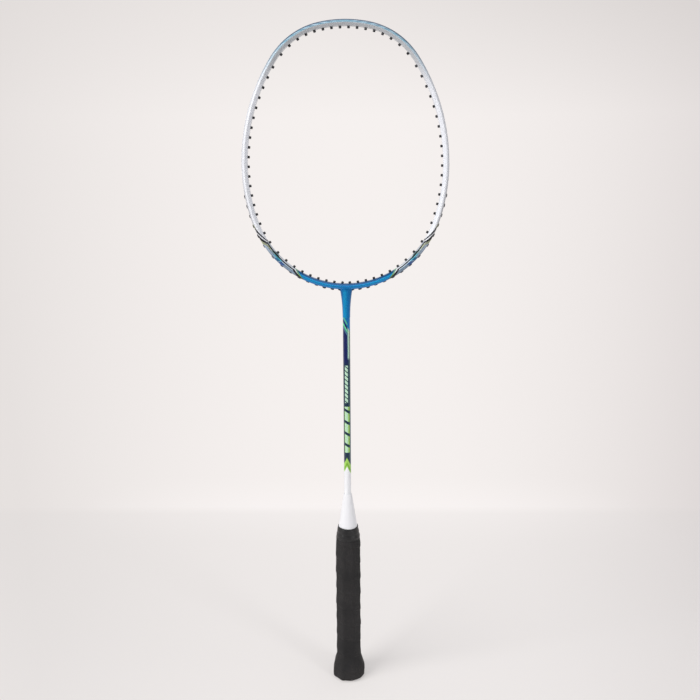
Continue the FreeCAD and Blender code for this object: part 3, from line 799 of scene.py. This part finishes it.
def hoop_point(along, out):
    """Point of the hoop at a signed distance along it from the top and a distance out from its inner face."""
    arcs = np.array(outline_arcs())
    starts = arc_starts(outline_arcs())
    far = np.abs(along)
    number = np.clip(np.searchsorted(starts, far, side="right") - 1, 0, len(arcs) - 1)
    cx, cz, radius, high, _ = arcs[number].transpose((-1, *range(far.ndim)))
    angle = high - (far - starts[number]) / radius
    reach = radius - hoop_thickness + out
    return np.where(along < 0.0, -1.0, 1.0) * (cx + reach * np.cos(angle)), cz + reach * np.sin(angle)


def hoop_place(x, z):
    """The reverse: signed distance along the hoop and distance out, for points near it."""
    arcs = outline_arcs()
    side = np.where(x < 0.0, -1.0, 1.0)
    along = np.zeros_like(x)
    out = np.zeros_like(x)
    for (cx, cz, radius, high, _), start in zip(arcs, arc_starts(arcs)):
        dx, dz = np.abs(x) - cx, z - cz
        angle = np.arctan2(dz, dx)
        here = (angle < high) | (start == 0.0)
        along = np.where(here, start + (high - angle) * radius, along)
        out = np.where(here, np.hypot(dx, dz) - radius + hoop_thickness, out)
    return side * along, out


def separate_solids(node):
    """Corner points of each solid of a node.

    Corners at one place count as one, and faces join them into groups.
    """
    mesh = frame["nodes"][node].data
    points = np.empty(len(mesh.vertices) * 3)
    mesh.vertices.foreach_get("co", points)
    corners = np.empty(len(mesh.polygons) * 3, int)
    mesh.polygons.foreach_get("vertices", corners)
    places, merged = np.unique(np.round(points.reshape(-1, 3), 7), axis=0, return_inverse=True)
    faces = merged.ravel()[corners].reshape(-1, 3)
    group = np.arange(len(places))
    while True:
        least = group[faces].min(axis=1)
        joined = group.copy()
        np.minimum.at(joined, faces.ravel(), np.repeat(least, 3))
        if (joined == group).all():
            return [places[group == number] for number in np.unique(group)]
        group = joined


def string_holes():
    """Where each grommet's axis crosses the hoop's inner and outer face, as signed distances along the hoop.

    The axis runs from the middle of the barrel's mouth to the middle of the flange's end face.
    """
    holes = []
    for part in frame["record"]["subparts"]:
        if "grommets" not in part["node"]:
            continue
        for points in separate_solids(part["node"]):
            along, out = hoop_place(points[:, 0], points[:, 2])
            close = 0.1 * MM
            mouth = out < out.min() + close
            end = out > out.max() - close
            low, high = out[mouth].mean(), out[end].mean()
            slope = (along[end].mean() - along[mouth].mean()) / (high - low)
            middle = along[mouth].mean()
            holes.append((middle - slope * low, middle + slope * (hoop_thickness - low)))
    return np.array(sorted(holes))


def rounded_corner(before, corner, after, radius, steps):
    """Points of the arc that rounds a corner, evenly turned from one side's touching point to the other's."""
    before, corner, after = (np.array(place) for place in (before, corner, after))
    one = (before - corner) / np.linalg.norm(before - corner)
    other = (after - corner) / np.linalg.norm(after - corner)
    half = math.acos(float(np.dot(one, other))) / 2
    centre = corner + (one + other) / np.linalg.norm(one + other) * radius / math.sin(half)
    start = corner + one * radius / math.tan(half) - centre
    end = corner + other * radius / math.tan(half) - centre
    sweep = math.pi - 2 * half
    share = np.linspace(0.0, 1.0, steps)[:, None]
    return centre + (np.sin((1 - share) * sweep) * start + np.sin(share * sweep) * end) / math.sin(sweep)


def ridge_corner():
    """Front to back distance of the ridge's sharp corner, whose rounded top lies at the hoop's depth."""
    tip = ridge_half
    rounds_until_still = 12
    for _ in range(rounds_until_still):
        opening = (math.atan2(ridge_out, tip - inner_face_half)
                   + math.atan2(hoop_thickness - ridge_out, tip - outer_face_half))
        tip = ridge_half + ridge_round * (1 / math.sin(opening / 2) - 1)
    return tip


def hoop_section():
    """Front half of the hoop's section, as (out, front to back), from the inner hole up to the groove."""
    inner, ridge = (0.0, inner_face_half), (ridge_out, ridge_corner())
    outer, middle = (hoop_thickness, outer_face_half), (hoop_thickness, 0.0)
    return np.concatenate([[(0.0, hole_half)],
                           rounded_corner((0.0, 0.0), inner, ridge, edge_round, 5),
                           rounded_corner(inner, ridge, outer, ridge_round, 9),
                           rounded_corner(ridge, outer, middle, edge_round, 6)])


def hoop_columns(holes, groove_end):
    """Stations along the hoop at its inner and outer face, and which of them start a hole.

    Two stations bound each hole, a few even ones lie between, and close ones follow the groove's round ends.
    """
    total = 2 * arc_starts(outline_arcs())[-1]
    following = np.roll(holes, -1, axis=0)
    following[-1] += total
    stations, starts = [], []
    for here, after in zip(holes, following):
        stations += [here - hole_half, here + hole_half]
        starts += [True, False]
        gap = after - here - 2 * hole_half
        count = int(math.ceil(gap.mean() / station_gap))
        stations += [here + hole_half + gap * n / count for n in range(1, count)]
        starts += [False] * (count - 1)
    turned = np.sin(np.linspace(0.0, QUARTER_TURN, 8))
    ends = [groove_end + groove_half * t for t in turned]
    ends += [ends[-1] + groove_wall, ends[-1] + past_groove_wall]
    for side in (-1.0, 1.0):
        stations += [np.array([side * end, side * end]) for end in ends]
        starts += [False] * len(ends)
    stations = np.array(stations)
    order = np.argsort(stations.mean(axis=1), kind="stable")
    return stations[order], np.array(starts)[order]


def hoop_and_neck(material):
    """The head's shell: the hoop's section carried round the outline, grooved and holed, and the neck.

    Each point lies at its station along the outline, its distance out and its distance to the front. Near
    the groove's end its half-width shrinks as a half circle. Where a hole starts, the inner and outer
    cells are left out and joined by four walls. The neck is a stack of ovals: its half-widths grow from
    the shaft's end to the hoop as powers of the share of the height.
    """
    holes = string_holes()
    groove_end = groove_end_place(holes)
    stations, starts = hoop_columns(holes, groove_end)
    past = np.abs(stations.mean(axis=1)) - groove_end
    bottom = past > groove_half + groove_wall / 2
    into_end = np.clip(past, 0.0, groove_half) / groove_half
    lip = groove_half * np.sqrt(np.clip(1.0 - into_end ** 2, 0.0004, 1.0))
    lip = np.where(past > groove_half + groove_end_length, groove_half, lip)
    depth = np.where(bottom, 0.0, groove_depth)
    section = hoop_section()
    count = len(stations)
    fixed_out, fixed_front = (np.broadcast_to(section[:, n, None], (len(section), count)) for n in (0, 1))
    fillet = np.minimum(groove_floor_round, depth)
    mid_fillet = 0.29
    floor = hoop_thickness - depth
    groove_out = np.stack([hoop_thickness + 0.0 * depth, floor + fillet, floor + fillet * mid_fillet, floor,
                           floor])
    groove_front = np.stack([lip, lip, lip - groove_floor_round * mid_fillet * lip / groove_half,
                             lip * (1.0 - groove_floor_round / groove_half), lip * hole_half / groove_half])
    out = np.concatenate([fixed_out, groove_out])
    front = np.concatenate([fixed_front, groove_front])
    half_rows = len(out)
    out = np.concatenate([out, out[::-1]])
    front = np.concatenate([front, -front[::-1]])
    along = stations[:, 0] + (stations[:, 1] - stations[:, 0]) * out / hoop_thickness
    total = 2 * arc_starts(outline_arcs())[-1]
    along = (along + total / 2) % total - total / 2
    x, z = hoop_point(along, out)
    points = np.stack([x, -front, z], axis=-1)
    rows = len(points)
    row, column = np.meshgrid(np.arange(rows), np.arange(count), indexing="ij")
    beside, above = (column + 1) % count, (row + 1) % rows
    cells = np.stack([row * count + column, row * count + beside, above * count + beside,
                      above * count + column], axis=-1)
    kept = np.ones((rows, count), bool)
    kept[[rows - 1, half_rows - 1]] = ~starts
    first = cells[rows - 1, starts][:, ::-1]
    last = cells[half_rows - 1, starts]
    walls = [np.stack([first[:, n], first[:, (n + 1) % 4], last[:, (n + 1) % 4], last[:, n]], axis=-1)
             for n in range(4)]
    faces = np.concatenate([cells[kept], *walls])
    neck_points, neck_faces = neck_shell()
    faces = np.concatenate([faces, neck_faces + rows * count])
    points = np.concatenate([points.reshape(-1, 3), neck_points])
    piece = mesh_piece("painted_head", points, faces, material)
    closed_up(piece, reach=0.003 * MM)
    piece.data.set_sharp_from_angle(angle=sharp_angle)
    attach(piece, "root")
    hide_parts("head_frame")


def groove_end_place(holes):
    """The groove ends half-way between the lowest sunk side grommet and the next one down."""
    sunk = separate_solids("right_upper_grommets")
    lowest = max(hoop_place(points[:, 0], points[:, 2])[0].mean() for points in sunk)
    middle = holes.mean(axis=1)
    return float((lowest + middle[middle > lowest + 2.0 * MM].min()) / 2)


def neck_shell():
    """The neck's ovals and its two closed ends, as points and faces."""
    columns = 72
    around = np.linspace(0.0, WHOLE_TURN, columns, endpoint=False)
    share = np.linspace(0.0, 1.0, 30)[:, None]
    half_x = neck_end_radius + (neck_top_half_width - neck_end_radius) * share ** neck_width_power
    half_y = neck_end_radius + (neck_top_half_depth - neck_end_radius) * share ** neck_depth_power
    z = neck_end_z + (throat_z + neck_in_hoop - neck_end_z) * share
    x, y, z = np.broadcast_arrays(half_x * np.cos(around), half_y * np.sin(around), z)
    wall = np.stack([x, y, z], axis=-1)
    scale = np.array([0.0, 0.0, 1.0])
    points = np.concatenate([wall[:1] * scale, wall, wall[-1:] * scale])
    return points.reshape(-1, 3), grid_faces(columns, len(points), True)


# ==== handle wrap
def handle_radius(turn, z, grown, depth=0.0):
    """Distance from the handle's axis to its bevelled outline at an angle, with each flat moved out by grown.

    The distance to each of the eight flats along that direction, and to a round taper that narrows
    towards the cone, are joined by a mean of high power, so the least one rules and the corners between
    flats come out softly rounded. The taper goes from the wrap's outside, depth 0, to the wooden core,
    depth 1.
    """
    diagonal = (flat_half_width + flat_half_depth - flat_bevel) / math.sqrt(2.0)
    total = np.zeros(np.broadcast(turn, z).shape)
    for number in range(8):
        facing = number * WHOLE_TURN / 8
        reach = (flat_half_width, diagonal, flat_half_depth, diagonal)[number % 4]
        cosine = np.maximum(np.cos(turn - facing), 1e-6)
        total = total + (cosine / (reach + grown)) ** flat_softness
    drop = np.maximum(wrap_high.z - z, 0.0)
    outside = cone_foot_radius + gap_round_cone + taper_slope * drop + taper_curve * drop ** 2
    share = (z - core_taper_low_z) / (cone_low.z - core_taper_low_z)
    core = core_foot_radius + (core_top_radius - core_foot_radius) * np.clip(share, 0.0, 1.0) + gap_round_core
    cone = outside + (core - outside) * depth * (share > 0.0)
    total = total + (1.0 / (cone + np.maximum(grown, 0.0))) ** flat_softness
    return total ** (-1.0 / flat_softness)


def wrap_profile():
    """The wrap's closed outline in a plane through the axis: distance moved out, height and depth by length.

    It runs down inside, rounds under the lower edge, climbs the flare and the handle, rounds over the
    top edge and comes down inside to where it began.
    """
    edge = tape_thickness / 2
    climb = np.linspace(0.0, 1.0, 60)
    outer_z = wrap_low.z + edge + (wrap_top_z - edge * 2 - wrap_low.z) * climb
    share = np.clip((flare_top_z - outer_z) / (flare_top_z - flare_widest_z), 0.0, 1.0)
    outer = flare_growth * np.sin(share * QUARTER_TURN) ** flare_power
    outer = outer - foot_round_in * np.clip((foot_round_z - outer_z) / foot_round_z, 0.0, 1.0) ** 2
    inner_z = outer_z[::-1]
    inner = outer[::-1] - tape_thickness
    half = np.linspace(0.0, math.pi, 9)[1:-1]
    half_depth = 0.5 - 0.5 * np.cos(half)
    top_out = outer[-1] - edge + edge * np.cos(half)
    top_z_points = outer_z[-1] + edge * np.sin(half)
    low_out = inner[-1] + edge - edge * np.cos(half)
    low_z_points = inner_z[-1] - edge * np.sin(half)
    middle = len(inner) // 2
    out = np.concatenate([inner[middle:], low_out, outer, top_out, inner[:middle + 1]])
    z = np.concatenate([inner_z[middle:], low_z_points, outer_z, top_z_points, inner_z[:middle + 1]])
    depth = np.concatenate([np.ones(len(inner) - middle), half_depth[::-1], np.zeros(len(outer)), half_depth,
                            np.ones(middle + 1)])
    length = np.concatenate([[0.0], np.cumsum(np.hypot(np.diff(out), np.diff(z)))])
    first = len(inner) - middle + len(low_out)
    outside = (length[first], length[first + len(outer) - 1])
    return length, out, z, depth, outside


def overlap_step(across):
    """How far the tape stands out, by distance up from its lower edge.

    A quick rounded rise over the turn below, level while it lies on it, then a slow fall to the core,
    and a slight dip just before the next turn's edge.
    """
    rise = ease(0.0, overlap_rise, across)
    fall = 1.0 - ease(overlap_level, overlap_gone, across)
    dip = ease(wrap_pitch - edge_dip_before, wrap_pitch, across) + 1.0 - ease(0.0, edge_dip_after, across)
    return overlap_height * rise * fall - edge_dip * dip


def soft_waves(turn, z):
    """Slow unevenness of a hand-wound wrap: a sum of a few sines of angle and height."""
    # waves in a turn, radians per half metre up, phase and height in millimetres
    waves = ((1, 61.0, 0.3, 0.10), (2, 97.0, 1.9, 0.07), (3, 143.0, 4.1, 0.05), (5, 233.0, 2.6, 0.03))
    total = np.zeros(np.broadcast(turn, z).shape)
    for around, upward, phase, height in waves:
        total = total + height * MM * np.sin(around * turn + upward * z * 2.0 + phase)
    return total


def wrap_surface(turn, length, across):
    """Points of the wrap: its profile at that length, stepped where turns overlap."""
    lengths, outs, heights, depths, (outside_low, outside_high) = wrap_profile()
    grown = np.interp(length, lengths, outs)
    z = np.interp(length, lengths, heights)
    depth = np.interp(length, lengths, depths)
    shown = ease(outside_low, outside_low + steps_fade_low, length)
    shown = shown * (1.0 - ease(outside_high - steps_fade_high, outside_high, length))
    radius = handle_radius(turn, z, grown, depth)
    radius = radius + (overlap_step(across) + soft_waves(turn, z)) * shown
    return ring_points(radius, turn, z)


def grip_wrap(material):
    """The wrap as one strip wound round the handle, its lower edge lying over the turn below.

    The grid runs along the strip and across it. The strip's upper row of points is the next turn's lower
    row, so the turns close on each other; past both ends the points fall on one ring inside, and merge.
    """
    lengths = wrap_profile()[0]
    turns = int(math.ceil(lengths[-1] / wrap_pitch)) + 1
    steps = np.array(tape_steps) * MM
    rows = len(steps)
    count = columns_per_turn * (turns + 1)
    wound = np.arange(count) * WHOLE_TURN / columns_per_turn
    across = np.broadcast_to(steps[:, None], (rows, count))
    length = wrap_pitch * (wound / WHOLE_TURN - 1.0)[None, :] + across
    length = np.clip(length, 0.0, lengths[-1])
    turn = np.broadcast_to(-wound[None, :], (rows, count))
    points = wrap_surface(turn, length, across)
    column = np.arange(count - 1)[None, :]
    row = np.arange(rows)[:, None]
    low = row * count + column
    last = row == rows - 1
    high = np.where(last, column + columns_per_turn, low + count)
    keep = (high + 1 < rows * count) & (~last | (column + columns_per_turn + 1 < count))
    faces = np.stack([low, low + 1, high + 1, high], axis=-1)[keep]
    girth = WHOLE_TURN * flat_half_width / MM
    u = np.broadcast_to(wound[None, :] / WHOLE_TURN * girth, (rows, count))
    v = across / MM
    uv = np.stack([u.ravel()[faces], v.ravel()[faces]], axis=-1)
    closing = (faces[:, 3] < count) & (faces[:, 0] >= (rows - 1) * count)
    uv[closing, 2:, 1] = wrap_pitch / MM
    uv[closing, 2:, 0] -= girth
    piece = mesh_piece("wound_grip", points, faces, material, uv)
    closed_up(piece, reach=0.001 * MM)
    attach(piece, "root")
    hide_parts("grip_tape")


def band_surface(turn, z, lift):
    """Point over the wrap's top and the cone's foot at an angle and height, lifted by lift.

    The radius is the larger of the wrap's, faded out above its top edge, and the cone's foot.
    """
    wrap = handle_radius(turn, z, 0.0) + overlap_height * 0.6 * (1.0 - ease(band_low.z, band_high.z, z))
    foot = cone_foot_radius + lift
    radius = np.maximum(wrap + lift + soft_waves(turn, z) * (1.0 - ease(band_low.z, wrap_top_z, z)), foot)
    return ring_points(radius, turn, z)


def end_band(material):
    """Finishing tape: a thin closed band round the wrap's top and the cone's foot, with stretch folds.

    Two slanting folds run round it where one turn of film lies on the next.
    """
    columns = 256
    turn = np.linspace(0.0, WHOLE_TURN, columns, endpoint=False)[None, :]
    share = np.linspace(0.0, 1.0, 34)[:, None]
    low = band_low.z + 0.6 * MM * np.sin(turn + 0.7) + 0.25 * MM * np.sin(turn * 5 + 1.1)
    high = band_high.z - 0.35 * MM + 0.2 * MM * np.sin(turn * 3 + 2.0)
    z = low + (high - low) * share
    fold = (share * 2.4 + turn / WHOLE_TURN) % 1.0
    step = 0.22 * MM * ease(0.0, 0.12, fold) * (1.0 - ease(0.25, 0.95, fold))
    crease = 0.07 * MM * np.sin(turn * 11 + 14.0 * share) * np.sin(turn * 3 + 1.0)
    inside = share * (1.0 - share) * 4.0
    outer = band_surface(turn, z, film_thickness + (step + crease) * np.minimum(inside * 2.0, 1.0))
    inner = band_surface(turn, z, film_inside)[::-1]
    points = np.concatenate([outer, inner, outer[:1]])
    piece = mesh_piece("end_band", points, grid_faces(columns, len(points), True), material)
    closed_up(piece, reach=0.004 * MM)
    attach(piece, "root")
    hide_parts("finishing_tape")


# ==== studio
def painted_paper_light():
    """Painted light and shade of the studio's white paper by direction: palest straight behind as a painted
    lit middle, greyer sideways, more so to the right, and upwards as painted shade.
    """
    tree, given, give = effect("painted_paper_light", {"Direction": None}, {"Colour": "Color"})
    x, y, z = parts_of(added(tree, "VectorMath", {0: given["Direction"]}, operation="NORMALIZE")["Vector"])
    level = distance(x, y).math("MAXIMUM", 0.001)
    aside = ((y / level) * -1.0 + 1.0).math("MINIMUM", 0.1) * (1.0 / 0.1)
    right = (x / level).above(0.2, 0.5)
    upper = z.above(0.15, 0.16)
    # painted lit middle straight behind; painted shade sideways, to the right and upwards
    give("Colour", layered(tint(246, 241, 239),
                           (mixed(tint(230, 225, 223), tint(223, 217, 216), right), aside),
                           (tint(206, 201, 199), upper * (right * 0.4 + 0.35))))
    return tree


def ways_seen(tree):
    """Masks: where a surface is seen in a reflection or through glass, and where the camera sees it."""
    rays = added(tree, "LightPath", {})
    return Field(rays["Is Glossy Ray"]).math("MAXIMUM", rays["Is Transmission Ray"]), rays["Is Camera Ray"]


def blended(mask, below, above, end):
    """Lays shader above over shader below where mask is 1, and puts both out at end."""
    plug(end, added(mask.tree, "MixShader", {0: mask, 1: below, 2: above})[0])


def floor_paper(painted_light):
    """Round sheet of white paper: lit and shadowed by the lamps near the racket, with painted shade on its
    left, glowing as its surroundings far out with their painted light and shade.

    Its points lie on rings: the ring's radius times the cosine and sine of 96 even angles.
    """
    around = np.linspace(0.0, WHOLE_TURN, 96, endpoint=False)[None, :]
    reach = np.array(floor_rings)[:, None]
    material, shader, place = finish_of("floor_paper", roughness=0.95, specular=0.1)
    x, y, _ = parts_of(place)
    colour = layered(
        tint(250, 246, 244),
        (tint(246, 242, 240), noise(place, 3.0, 2.0)),
        # painted shade over the left half of the floor
        (tint(232, 228, 226), x.below(-0.05, 0.6)))
    dressed(shader, {"Colour": colour, "Height": noise(place, 900.0, 3.0)}, 0.05 * MM, 0.3)

    mirrored, watched = ways_seen(shader.id_data)
    dim = mirrored * y.below(-0.4, 0.5)
    far = distance(x, y).above(1.0, 0.7).math("MAXIMUM", y.above(painted_bend_at, 0.12))
    far = far.math("MAXIMUM", y.above(0.22, 0.4) * 0.4 + 0.4).math("MAXIMUM", dim)
    outlook = {0: place, 1: outlook_from}
    direction = added(shader.id_data, "VectorMath", outlook, operation="SUBTRACT")["Vector"]
    aside, ahead, _ = parts_of(direction)
    # painted sheen: a lighter band behind the racket, as a paper bend would catch the light
    sheen = y.within(painted_bend_at, painted_bend_at + 0.13, 0.12) * x.within(-0.3, 0.34, 0.3)
    tone = layered(
        placed(painted_light, direction)["Colour"],
        # painted shade: the glow darker within about 0.4 metres of the point below the camera
        (tint(233, 228, 226), distance(aside, ahead).below(0.42, 0.46)),
        (tint(252, 247, 246), sheen * 0.45),
        (dim_room, dim))
    glowing = added(shader.id_data, "Emission", {"Color": tone})[0]
    blended(far * mirrored.math("MAXIMUM", watched), shader.outputs[0], glowing,
            material.node_tree.nodes["Material Output"].inputs["Surface"])
    sheet = mesh_piece("floor", ring_points(reach, around, 0.0), grid_faces(96, len(reach), True), material)
    closed_up(sheet, reach=0.01 * MM)


def surroundings(painted_light):
    """World: a dim even light on the racket; seen straight and in reflections from behind, white paper with
    painted light and shade.
    """
    world = bpy.data.worlds.new("surroundings")
    world.use_nodes = True
    tree = world.node_tree
    light = tree.nodes["Background"]
    light.inputs["Color"].default_value = room_colour
    light.inputs["Strength"].default_value = room_light
    direction = added(tree, "TexCoord", {})["Generated"]
    # the paper's painted light and shade, seen behind the racket
    paper = added(tree, "Background", {"Color": placed(painted_light, direction)["Colour"]})[0]
    mirrored, watched = ways_seen(tree)
    behind = parts_of(direction)[1].above(0.35, 0.7)
    blended((mirrored * behind).math("MAXIMUM", watched), light.outputs[0], paper,
            tree.nodes["World Output"].inputs["Surface"])
    bpy.context.scene.world = world


def lamp(name, place, target, size, watts, colour):
    """Rectangular lamp at a place, facing a target."""
    light = bpy.data.lights.new(name, "AREA")
    light.shape = "RECTANGLE"
    light.size, light.size_y = size
    light.energy = watts
    light.color = colour
    body = bpy.data.objects.new(name, light)
    forward = (Vector(target) - Vector(place)).normalized()
    body.matrix_world = Matrix.Translation(place) @ forward.to_track_quat("-Z", "Y").to_matrix().to_4x4()
    bpy.context.scene.collection.objects.link(body)


def studio():
    """A broad soft key from the upper left, a weaker fill from the right and a lamp overhead."""
    for name, values in lamps.items():
        lamp(name, *values)
    bpy.context.scene.view_settings.view_transform = "Standard"


def camera():
    """Held at head height close in front, tipped down and very slightly turned."""
    view = bpy.data.cameras.new("camera")
    view.sensor_width = 36.0
    view.angle = 2 * math.atan(half_view_share)
    view.clip_start = 0.01
    body = bpy.data.objects.new("camera", view)
    turned = (Matrix.Rotation(camera_yaw, 4, "Z") @ Matrix.Rotation(QUARTER_TURN - camera_down, 4, "X")
              @ Matrix.Rotation(-camera_roll, 4, "Z"))
    body.matrix_world = Matrix.Translation(camera_place) @ turned
    bpy.context.scene.collection.objects.link(body)
    bpy.context.scene.camera = body


materials = finishes()
dress_nodes(materials)
hoop_and_neck(materials["frame_paint"])
grip_wrap(materials["grip_leather"])
end_band(materials["finishing_film"])
painted_paper_tone = painted_paper_light()
floor_paper(painted_paper_tone)
surroundings(painted_paper_tone)
studio()
camera()
